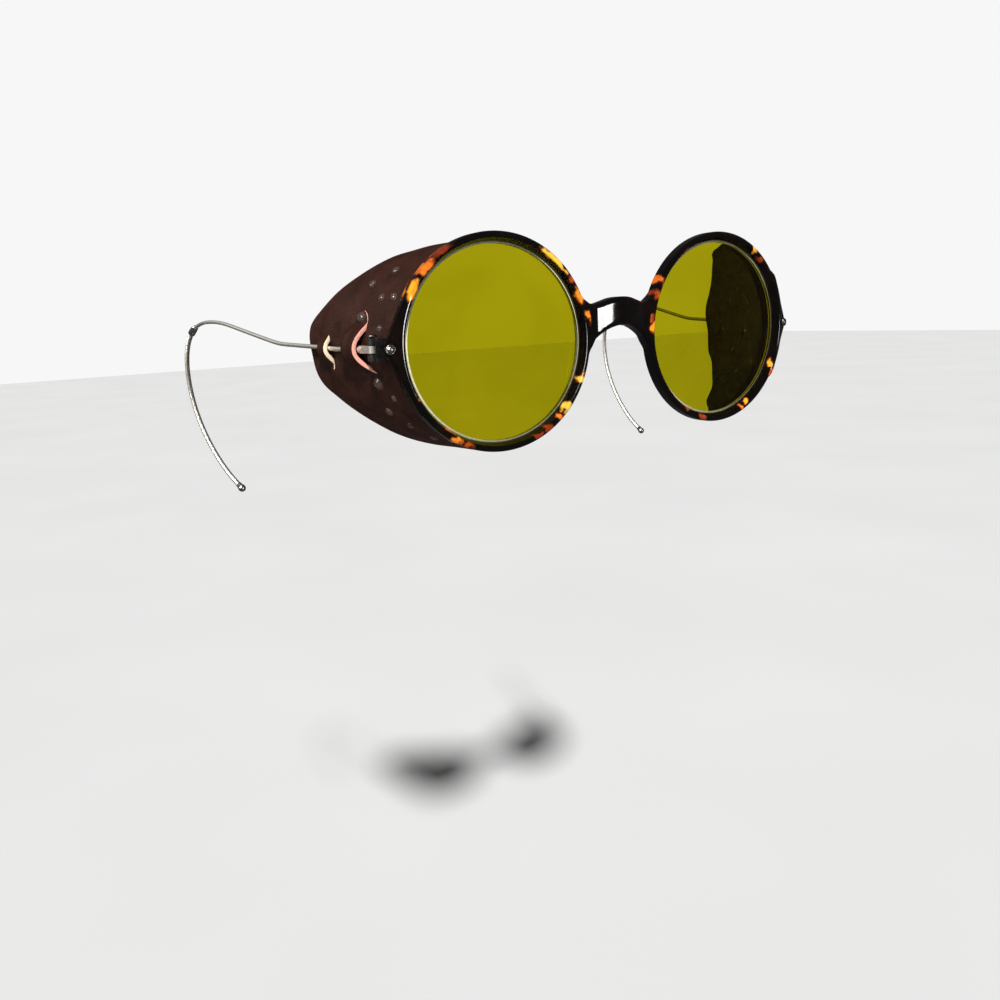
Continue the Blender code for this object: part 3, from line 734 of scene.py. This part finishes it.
def end_point(side, out, back, up):
    """A point given in an end piece's own directions."""
    c, s = math.cos(END_SWEEP), math.sin(END_SWEEP)
    return eye_point(side, END_ROOT + out * c - back * s, out * s + back * c, up)


def temple_point(side, s, z):
    """A point at s along a temple and z above its hinge."""
    hinge = HINGES[side]
    return hinge + np.array([SIDES[side] * s * math.sin(SPLAY), s * math.cos(SPLAY), z])


# ==== lenses and hinges ====

def build_lens(side, glass, edge):
    """A domed disc of glass, and its bevelled edge as the second material."""
    rim = LENS_RADIUS - LENS_BEVEL
    radii = rim * np.sin(np.linspace(0, np.pi / 2, 15))
    dome = LENS_SAG * (1 - (radii / rim) ** 2)
    back = [(r, LENS_HALF_EDGE - d) for r, d in zip(radii, dome)]
    front = [(r, -LENS_HALF_EDGE - d) for r, d in zip(radii, dome)]
    flat = [(LENS_RADIUS, LENS_HALF_FLAT), (LENS_RADIUS, -LENS_HALF_FLAT)]
    profile = back + flat + front[::-1]
    first = len(back) - 2

    def is_edge(strip):
        return int(first <= strip <= first + 2)

    base = eye_point(side, 0, GROOVE_MIDDLE, 0)
    axis = eye_point(side, 0, 1, 0) - eye_point(side, 0, 0, 0)
    lens = turned(f"amber_lens_{side}", profile, base, axis, [glass, edge],
                  steps=144, index=is_edge, sharp=25)
    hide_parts(f"lens_{side}")
    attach(lens, "front")


def build_rivet(side, finish):
    """The rivet's dome with a turned ring round it, its washer and the peened tail."""
    axis = end_point(side, 0, 1, 0) - end_point(side, 0, 0, 0)
    base = end_point(side, RIVET_OUT, 0, END_APEX_Z)
    face = RIM_FRONT - 0.02
    tail = RIM_BACK + LEAF_THICKNESS + 2 * GAP
    profile = eased([(0, tail + 0.4), (0.75, tail + 0.3), (0.95, tail), (RIVET_SHANK, tail),
                     (RIVET_SHANK, face - 0.3), (0.68, face - 0.42), (0.4, face - 0.66),
                     (0, face - 0.72)], 0.12)
    rivet = turned(f"rivet_dome_{side}", profile, base, axis, [finish])
    ring = eased([(0.78, face), (WASHER_RADIUS, face), (WASHER_RADIUS, face - 0.22),
                  (0.98, face - 0.46), (0.82, face - 0.4), (0.78, face)], 0.07)
    washer = turned(f"rivet_ring_{side}", ring[:-1], base, axis, [finish])
    for piece, node in ((rivet, f"rivet_{side}"), (washer, f"rivet_washer_{side}")):
        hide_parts(node)
        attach(piece, "front")


def dress_hinge(side, dark, bright):
    """The CAD hinge pieces have the right shape: they get their metal and softened edges. The leaf
    and the screw get the dark one, a near-black nickel that paints in the shade they sit in behind
    the end piece.
    """
    for node, finish in (("hinge_leaf", dark), ("hinge_screw", dark), ("temple_butt", bright)):
        obj = frame["nodes"][f"{node}_{side}"]
        obj.data.materials.clear()
        obj.data.materials.append(finish)
        weld = obj.modifiers.new("weld", "WELD")
        weld.merge_threshold = 0.002 * MM
        soft = obj.modifiers.new("softened", "BEVEL")
        soft.width = EDGE_SOFTENING * MM
        soft.segments = 2
        soft.limit_method = "ANGLE"
        soft.angle_limit = math.radians(40)
        soft.harden_normals = True


# ==== temples ====

def build_temple(side, wire_finish, cap_finish):
    """Plain wire, crimped ferrule, wound ear cable and end bead, one behind the other."""
    line = smooth_line([temple_point(side, s, z) for s, z in TEMPLE_ROUTE], 24)
    total = lengths(line)[-1]
    sleeve_start, tip_start = WIRE_END + 0.1, total - TIP_LENGTH
    sleeve_end = sleeve_start + FERRULE_LENGTH
    plain = stretch(line, 0, sleeve_start + JOIN, 0.8)
    wire = tube(f"spring_wire_{side}", plain, WIRE_RADIUS, wire_finish, sides=20)
    sleeve = stretch(line, sleeve_start, sleeve_end, 0.2)
    share = np.linspace(0, 1, len(sleeve))
    swell = FERRULE_RADIUS * (0.74 + 0.26 * np.sin(share * np.pi * 0.62) ** 0.7)
    ferrule = tube(f"sleeve_{side}", sleeve, swell, cap_finish, sides=28, rounded=0.12)
    core = stretch(line, sleeve_end - JOIN, tip_start + JOIN, 0.05)
    cable = coil(f"wound_cable_{side}", core, wire_finish)
    end = stretch(line, tip_start, total, 0.1)
    bead = np.linspace(0, 1, len(end))
    bulb = TIP_RADIUS * np.sqrt(np.clip(1 - ((bead - 0.62) / 0.385) ** 2, 0.02, 1))
    bulb = np.maximum(bulb, np.where(bead < 0.6, 0.86, 0.1))
    tip = tube(f"tip_bead_{side}", end, bulb, cap_finish, sides=28)
    pieces = {"temple_wire": wire, "ear_ferrule": ferrule, "ear_cable": cable, "ear_tip": tip}
    for node, piece in pieces.items():
        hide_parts(f"{node}_{side}")
        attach(piece, f"temple_{side}")


def coil(name, path, finish):
    """Fine wire wound closely along a path: the springy part that hooks behind the ear."""
    travelled = lengths(path)
    _, across, up = frames_along(path)
    steps = int(travelled[-1] / COIL_PITCH * COIL_STEPS)
    at = np.linspace(0, travelled[-1], steps)
    turn = (2 * np.pi * at / COIL_PITCH)[:, None]
    path, across, up = (read_at(at, travelled, rows) for rows in (path, across, up))
    circle = across * np.cos(turn) + up * np.sin(turn)
    return tube(name, path + (CABLE_RADIUS - COIL_WIRE) * circle, COIL_WIRE, finish, sides=7)


# ==== leather side shields ====

def eased_step(t):
    """Rises smoothly from 0 to 1 as t does."""
    t = np.clip(t, 0, 1)
    return t * t * (3 - 2 * t)


def shield_radius(degrees):
    """The section's radius, a little fuller towards the bottom."""
    return SHIELD_RADIUS + SHIELD_BELLY * eased_step((-degrees - 20) / 50)


def flat_from(height, y):
    """Where a point of that height above the lens centre lies on the flat hide."""
    degrees = np.degrees(np.arcsin(np.clip(np.asarray(height, float) / SHIELD_RADIUS, -1, 1)))
    return np.column_stack([np.radians(degrees) * SHIELD_RADIUS, np.broadcast_to(y, degrees.shape)])


def vents_of(side):
    """The vents' centres on the flat hide, with their sizes."""
    return [(flat_from([height], y)[0], size) for y, height, size in VENTS[side]]


def wire_height(side):
    """How far above the lens centre the wire crosses the hide."""
    return HINGES[side][2] - EYE_Z + WIRE_ABOVE


def front_edge(u):
    """The hide's front edge, just behind the rim and the end piece."""
    return FRONT_EDGE_Y + NOTCH_DEPTH * np.exp(-(u / NOTCH_HALF) ** 2)


def inside(points, loop):
    """Which points lie inside a closed outline, by counting the edges to their right."""
    x, y = points.T[:, :, None]
    a, b = loop, np.roll(loop, -1, axis=0)
    crosses = (a[:, 1] > y) != (b[:, 1] > y)
    rise = np.where(b[:, 1] == a[:, 1], 1e-9, b[:, 1] - a[:, 1])
    at = a[:, 0] + (y - a[:, 1]) / rise * (b[:, 0] - a[:, 0])
    return (crosses & (x < at)).sum(1) % 2 == 1


def near(points, line, reach):
    """Which points lie within `reach` of a line's points."""
    return np.linalg.norm(points[:, None] - line[None], axis=2).min(1) < reach


def slit_loop(line, width=0.16):
    """A closed, pointed outline round a slit's middle line."""
    tangent = np.gradient(line, axis=0)
    tangent /= np.linalg.norm(tangent, axis=1)[:, None]
    normal = np.column_stack([-tangent[:, 1], tangent[:, 0]])
    share = np.sin(np.linspace(0, np.pi, len(line))) ** 0.5
    offset = normal * (width / 2 * share)[:, None]
    return np.vstack([line + offset, (line - offset)[1:-1][::-1]])


def slit_line(points):
    return even(smooth_line(flat_from(*np.transpose(points))), 0.35)


def slit_y(uv, slit):
    """The y of a slit's middle line beside each point."""
    order = np.argsort(slit[:, 0])
    return np.interp(uv[:, 0], slit[order, 0], slit[order, 1])


def hump(u, peak, front, rear):
    """Along the strip between two slits: a smooth rise from 0 to 1 at its peak and back to 0."""
    low = max(front[:, 0].min(), rear[:, 0].min())
    high = min(front[:, 0].max(), rear[:, 0].max())
    t = np.where(u > peak, (u - peak) / (high - peak), (peak - u) / (peak - low))
    return np.where(t < 1, np.cos(np.pi / 2 * np.clip(t, 0, 1)) ** 1.3, 0)


def lift(uv, side, slits):
    """How far the hide stands off its smooth cone, outwards."""
    hinge = HINGES[side]
    y = tucked(uv, side, slits)[:, 1]
    wire_x = abs(hinge[0]) + (y - hinge[1]) * math.tan(SPLAY)
    wire_u = wire_height(side)
    cone_x = EYE_X + SHIELD_RADIUS + SHIELD_FLARE * (y - SHIELD_START)
    stand = (wire_x - cone_x) * CONE_LEAN
    bar = np.interp(y, (BUTT_END_Y, BUTT_END_Y + 1.0), (BUTT_RADIUS, WIRE_RADIUS))
    over = stand + bar + LEATHER / 2 + 0.05
    under = stand - bar - LEATHER / 2 - WIRE_CLEAR
    trough = np.exp(-((uv[:, 0] - wire_u) / WIRE_TROUGH) ** 2)
    out = under * eased_step((y - hinge[1] - 0.5) / 5.0) * trough
    for front, rear in (slits[:2], slits[2:]):
        on_strip = (uv[:, 1] > slit_y(uv, front)) & (uv[:, 1] < slit_y(uv, rear))
        bulge = hump(uv[:, 0], wire_u - WIRE_ABOVE, front, rear)
        out = np.where(on_strip, over * bulge, out)
    tall, deep = LEAF_DENT_HALF
    out = out - LEAF_DENT * np.exp(-(uv[:, 0] / tall) ** 2 - ((uv[:, 1] - LEAF_DENT_Y) / deep) ** 2)
    for centre, size in vents_of(side):
        reach = np.hypot(*(uv - centre).T) / size
        out = out + VENT_RISE * size * np.exp(-((reach - BURR_RADIUS) / 0.40) ** 2)
    return out + WAVE * np.sin(uv[:, 0] * 0.35 + 1.0) * np.sin(uv[:, 1] * 0.42 + 0.5)


def tucked(uv, side, slits):
    """The hide with its edges next to each strip drawn in under the strip."""
    out = uv.copy()
    for (front, rear), reach in ((slits[:2], TUCK), (slits[2:], TUCK * TUCK_SHARE)):
        bulge = hump(uv[:, 0], wire_height(side), front, rear)
        before = slit_y(uv, front) - uv[:, 1]
        after = uv[:, 1] - slit_y(uv, rear)
        drawn = reach * bulge * np.exp(-before / TUCK_FADE)
        out[:, 1] += np.where(before > 0, drawn, 0)
        drawn = reach * TUCK_SHARE * bulge * np.exp(-after / TUCK_FADE)
        out[:, 1] -= np.where(after > 0, drawn, 0)
    return out


def burr(uv, side):
    """1 on the burr round each vent, fading to 0 around it: there the leather is glossier and paler,
    the paler grey partly wear and partly a painted sheen.
    """
    mark = np.zeros(len(uv))
    for centre, size in vents_of(side):
        reach = np.hypot(*(uv - centre).T) / size
        mark = np.maximum(mark, np.exp(-((reach - BURR_RADIUS) / 0.45) ** 2))
    return mark


def on_cone(uv, side, out):
    """Bends the flat hide into its cone and raises it by `out` along the normal."""
    degrees = np.degrees(uv[:, 0] / SHIELD_RADIUS)
    angle = np.radians(degrees)
    radius = shield_radius(degrees) + out
    x = EYE_X + radius * np.cos(angle) + SHIELD_FLARE * (uv[:, 1] - SHIELD_START)
    y = uv[:, 1] - SHIELD_FLARE * out * np.cos(angle)
    z = EYE_Z + radius * np.sin(angle)
    return np.column_stack([SIDES[side] * x, y, z])


def hide_outline():
    """The flat hide's outline: its drawn edge, and the front edge along the rim."""
    edge = smooth_line([(math.radians(a) * SHIELD_RADIUS, y) for a, y in SHIELD_EDGE])
    back = even(edge, 0.5)
    u = np.arange(back[-1, 0] + 0.5, back[0, 0] - 0.3, 0.5)
    return np.vstack([back, np.column_stack([u, front_edge(u)])])


def staggered_grid(low, high, spacing):
    """Points between two corners in rows that make even triangles."""
    grid = []
    for k, y in enumerate(np.arange(low[1], high[1], spacing * 0.866)):
        first = low[0] + spacing * 0.5 * (k % 2)
        grid += [(x, y) for x in np.arange(first, high[0], spacing)]
    return np.array(grid)


def cut_triangles(points, loops):
    """Triangles between the points and inside the first loop, with the other loops as holes."""
    edges, start = [], 0
    for loop in loops:
        count = len(loop)
        edges += [(start + i, start + (i + 1) % count) for i in range(count)]
        start += count
    made = delaunay_2d_cdt([Vector(p) for p in points], edges, [], 0, 1e-5)
    uv = np.array([tuple(v) for v in made[0]])
    faces = np.array([f for f in made[2] if len(f) == 3])
    middle = uv[faces].mean(1)
    good = inside(middle, loops[0])
    for loop in loops[1:]:
        good &= ~inside(middle, loop)
    faces = faces[good]
    a, b, c = (uv[faces[:, k]] for k in range(3))
    area = np.cross(b - a, c - a)
    faces[area < 0] = faces[area < 0][:, ::-1]
    faces = faces[np.abs(area) > 1e-7]
    used, numbers = np.unique(faces, return_inverse=True)
    return uv[used], numbers.reshape(faces.shape)


def hide_pattern(side):
    """The flat hide as triangles: outline, slits and vents are edges of the mesh."""
    outline = hide_outline()
    slits = [slit_line(s) for s in (FRONT_SLIT, MIDDLE_SLIT, THIRD_SLIT, REAR_SLIT)]
    turn = 2 * np.pi * np.arange(14) / 14
    circle = np.column_stack([np.cos(turn), np.sin(turn)])
    vents = vents_of(side)
    loops = [outline] + [slit_loop(s) for s in slits]
    loops += [centre + circle * VENT_HOLE * size for centre, size in vents]
    grid = staggered_grid(outline.min(0), outline.max(0), SHIELD_SPACING)
    keep = inside(grid, outline) & ~near(grid, outline, 0.3)
    for slit in slits:
        keep &= ~near(grid, slit, 0.32)
    for centre, size in vents:
        keep &= np.hypot(*(grid - centre).T) > VENT_RINGS[-1] * size + 0.15
    rings = [centre + circle * r * size for centre, size in vents for r in VENT_RINGS]
    uv, faces = cut_triangles(np.vstack(loops + [grid[keep]] + rings), loops)
    return uv, faces, slits


def outward_normals(points, faces, sign):
    """Unit normals that point away from the head, and 1 or -1 as the faces turn with them."""
    a, b, c = (points[faces[:, k]] for k in range(3))
    face_normal = np.cross(b - a, c - a)
    normal = np.zeros_like(points)
    for k in range(3):
        np.add.at(normal, faces[:, k], face_normal)
    normal /= np.linalg.norm(normal, axis=1)[:, None]
    if (normal[:, 0] * sign).mean() < 0:
        normal = -normal
    return normal, np.sign(np.dot(face_normal[0], normal[faces[0, 0]]))


def cut_edges(faces):
    """The directed edges that only one triangle has."""
    directed = np.vstack([faces[:, (0, 1)], faces[:, (1, 2)], faces[:, (2, 0)]]).tolist()
    known = set(map(tuple, directed))
    return np.array([e for e in directed if (e[1], e[0]) not in known])


def away_from_hide(points, normal, rim, turn):
    """Unit directions out of the hide at its cut edges, and zero elsewhere."""
    outward = np.zeros_like(points)
    facing = np.cross(points[rim[:, 1]] - points[rim[:, 0]], normal[rim[:, 0]]) * turn
    for k in range(2):
        np.add.at(outward, rim[:, k], facing)
    size = np.linalg.norm(outward, axis=1)[:, None]
    return np.where(size > 1e-9, outward / np.maximum(size, 1e-9), 0)


def build_shield(side, finishes):
    """Two faces of leather joined round every cut edge, the raw slit edges in pale fibre."""
    uv, faces, slits = hide_pattern(side)
    middle = on_cone(tucked(uv, side, slits), side, lift(uv, side, slits))
    normal, turn = outward_normals(middle, faces, SIDES[side])
    rim = cut_edges(faces)
    outward = away_from_hide(middle, normal, rim, turn)
    half, ease = LEATHER / 2, LEATHER_EASE
    count = len(middle)
    edge_points, ring = np.unique(rim, return_inverse=True)
    upper = middle + normal * half - outward * ease
    lower = middle - normal * half - outward * ease
    high = (middle + normal * (half - ease))[edge_points]
    low = (middle - normal * (half - ease))[edge_points]
    quads, indices = [], []
    first, second = 2 * count, 2 * count + len(edge_points)
    for (i, j), place, kind in zip(rim, ring.reshape(rim.shape), raw_kinds(uv, rim, slits)):
        hi, hj = first + place
        li, lj = second + place
        quads += [(i, hi, hj, j), (hi, li, lj, hj), (li, i + count, j + count, lj)]
        indices += [kind, kind, 0]
    all_faces = faces.tolist() + (faces[:, ::-1] + count).tolist() + quads
    shield = mesh_object(f"leather_shield_{side}", np.vstack([upper, lower, high, low]), all_faces,
                         finishes, [0] * (2 * len(faces)) + indices, sharp=60)
    flat = np.vstack([uv, uv, uv[edge_points], uv[edge_points]])
    depth = np.repeat((half, -half, half - ease, ease - half), [count] * 2 + [len(edge_points)] * 2)
    keep_values(shield.data, "burr", burr(flat, side))
    keep_values(shield.data, "flat", np.column_stack([flat, depth]) * MM)
    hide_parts(f"side_shield_{side}")
    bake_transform(shield)


def raw_kinds(uv, rim, slits):
    """1 for the wide strip's raw front edge, 2 for the narrow strip's, 0 for dyed edges."""
    middle = uv[rim].mean(1)
    kinds = np.zeros(len(rim), int)
    for kind, slit in ((1, slits[0]), (2, slits[2])):
        behind = middle[:, 1] > slit_y(middle, slit)
        kinds[near(middle, slit, 0.2) & behind] = kind
    return kinds


# ==== stage, light and camera ====

STAGE_SIZE = 12.0  # metres across
STAGE_FLOOR = -0.30  # metres below the bridge
BACKGROUND = 0.93  # what the eye sees of the studio, also through the lenses
SURROUND = 0.08  # what surfaces are lit by and reflect


def build_stage(finish):
    """A plain pale floor, well below the glasses."""
    half = STAGE_SIZE / MM / 2
    corners = [(-half, -half, 0), (half, -half, 0), (half, half, 0), (-half, half, 0)]
    floor = mesh_object("studio_floor", corners, [(0, 1, 2, 3)], [finish])
    floor.location.z = STAGE_FLOOR
    floor.visible_glossy = False


# distant soft lights: name, azimuth from the front (-Y) towards +X, elevation and spread in
# degrees, strength, and the kinds of piece that reflect it. A light without kinds only lights
# surfaces, and one with kinds is only seen reflected in them.
LAMPS = [
    ("key", -22, 42, 5, 5.0, ()),
    ("fill", -70, -10, 40, 0.65, ()),
    ("overhead", -70, 55, 30, 3.6, ("metal",)),
    ("spark", -85, 32, 14, 5.0, ("metal", "leather")),
    ("window", 8, 2, 12, 1.1, ("acetate",)),
    ("window_glow", 19, 2, 27, 0.75, ("metal",)),
]
KINDS = {"acetate_front": "acetate", "leather_shield": "leather", "amber_lens": "lens",
         "studio_floor": "floor"}


def reflecting(kinds, name):
    """A collection of the pieces of these kinds; every piece that KINDS leaves out is metal."""
    receivers = bpy.data.collections.new(name)
    for obj in bpy.context.scene.objects:
        stem = obj.name.removesuffix("_right").removesuffix("_left")
        if obj.type == "MESH" and KINDS.get(stem, "metal") in kinds:
            receivers.objects.link(obj)
    return receivers


def build_lamps():
    for name, azimuth, elevation, spread, strength, kinds in LAMPS:
        data = bpy.data.lights.new(name, "SUN")
        data.energy = strength
        data.angle = math.radians(spread)
        a, e = math.radians(azimuth), math.radians(elevation)
        towards = Vector((math.sin(a) * math.cos(e), -math.cos(a) * math.cos(e), math.sin(e)))
        lamp = link(bpy.data.objects.new(name, data))
        lamp.rotation_euler = towards.to_track_quat("Z", "Y").to_euler()
        lamp.visible_glossy = bool(kinds)
        lamp.visible_diffuse = not kinds
        lamp.visible_transmission = False
        if kinds:
            lamp.light_linking.receiver_collection = reflecting(kinds, name + "_receivers")


CAMERA_PLACE = (-0.13573, -0.17174, 0.00504)
CAMERA_YAW, CAMERA_PITCH, CAMERA_ROLL = (math.radians(a) for a in (30.23, -12.6, -2.8))
CAMERA_LENS = 30.6


def build_camera():
    """Looks along yaw from +Y towards +X and along pitch, then rolls about that direction."""
    yaw, pitch, roll = CAMERA_YAW, CAMERA_PITCH, CAMERA_ROLL
    flat = Vector((math.sin(yaw), math.cos(yaw), 0))
    ahead = flat * math.cos(pitch) + Vector((0, 0, math.sin(pitch)))
    level = Vector((math.cos(yaw), -math.sin(yaw), 0))
    upright = level.cross(ahead)
    right = level * math.cos(roll) + upright * math.sin(roll)
    up = upright * math.cos(roll) - level * math.sin(roll)
    data = bpy.data.cameras.new("camera")
    data.lens = CAMERA_LENS
    data.sensor_width = 36.0
    data.clip_start, data.clip_end = 0.01, 20.0
    camera = link(bpy.data.objects.new("camera", data))
    turned_to = Matrix((right, up, -ahead)).transposed().to_4x4()
    camera.matrix_world = Matrix.Translation(CAMERA_PLACE) @ turned_to
    bpy.context.scene.camera = camera


def build_studio():
    """A surround that looks bright but lights and reflects as a dim one."""
    bpy.context.scene.view_settings.view_transform = "Standard"
    world = bpy.data.worlds.new("studio")
    nodes = Nodes(world)
    ray = nodes.node("LightPath").outputs
    seen = nodes.maths("MAXIMUM", ray["Is Camera Ray"], ray["Is Transmission Ray"])
    background = nodes.tree.nodes["Background"].inputs
    background["Color"].default_value = (1.0, 1.0, 1.0, 1.0)
    nodes.tree.links.new(nodes.spread(seen, SURROUND, BACKGROUND), background["Strength"])
    bpy.context.scene.world = world


# ==== build ====

build_camera()
build_studio()
build_stage(pale_floor())
build_front(tortoiseshell())
nickel = metal("nickel", (0.66, 0.64, 0.61), (0.24, 0.23, 0.21), 0.16, 0.36)
steel = metal("drawn_steel", (0.86, 0.83, 0.75), (0.50, 0.47, 0.42), 0.34, 0.50, 2200)
# the near-black nickel for the hinge leaf and screw is painted shade: the dark they sit in behind
# the end piece
shade_black_nickel = metal("hinge_shade_nickel", (0.105, 0.098, 0.09), (0.022, 0.02, 0.018), 0.30, 0.50)
glass, ground = lens_glass(), ground_edge()
hide = [leather(), cut_leather("cut_edge_pink", (0.84, 0.40, 0.31), (0.56, 0.21, 0.15)),
        cut_leather("cut_edge_cream", (0.93, 0.78, 0.56), (0.72, 0.50, 0.31))]
for side in SIDES:
    build_lens(side, glass, ground)
    build_rivet(side, nickel)
    dress_hinge(side, shade_black_nickel, steel)
    build_temple(side, steel, nickel)
    build_shield(side, hide)
build_lamps()

bpy.context.view_layer.update()
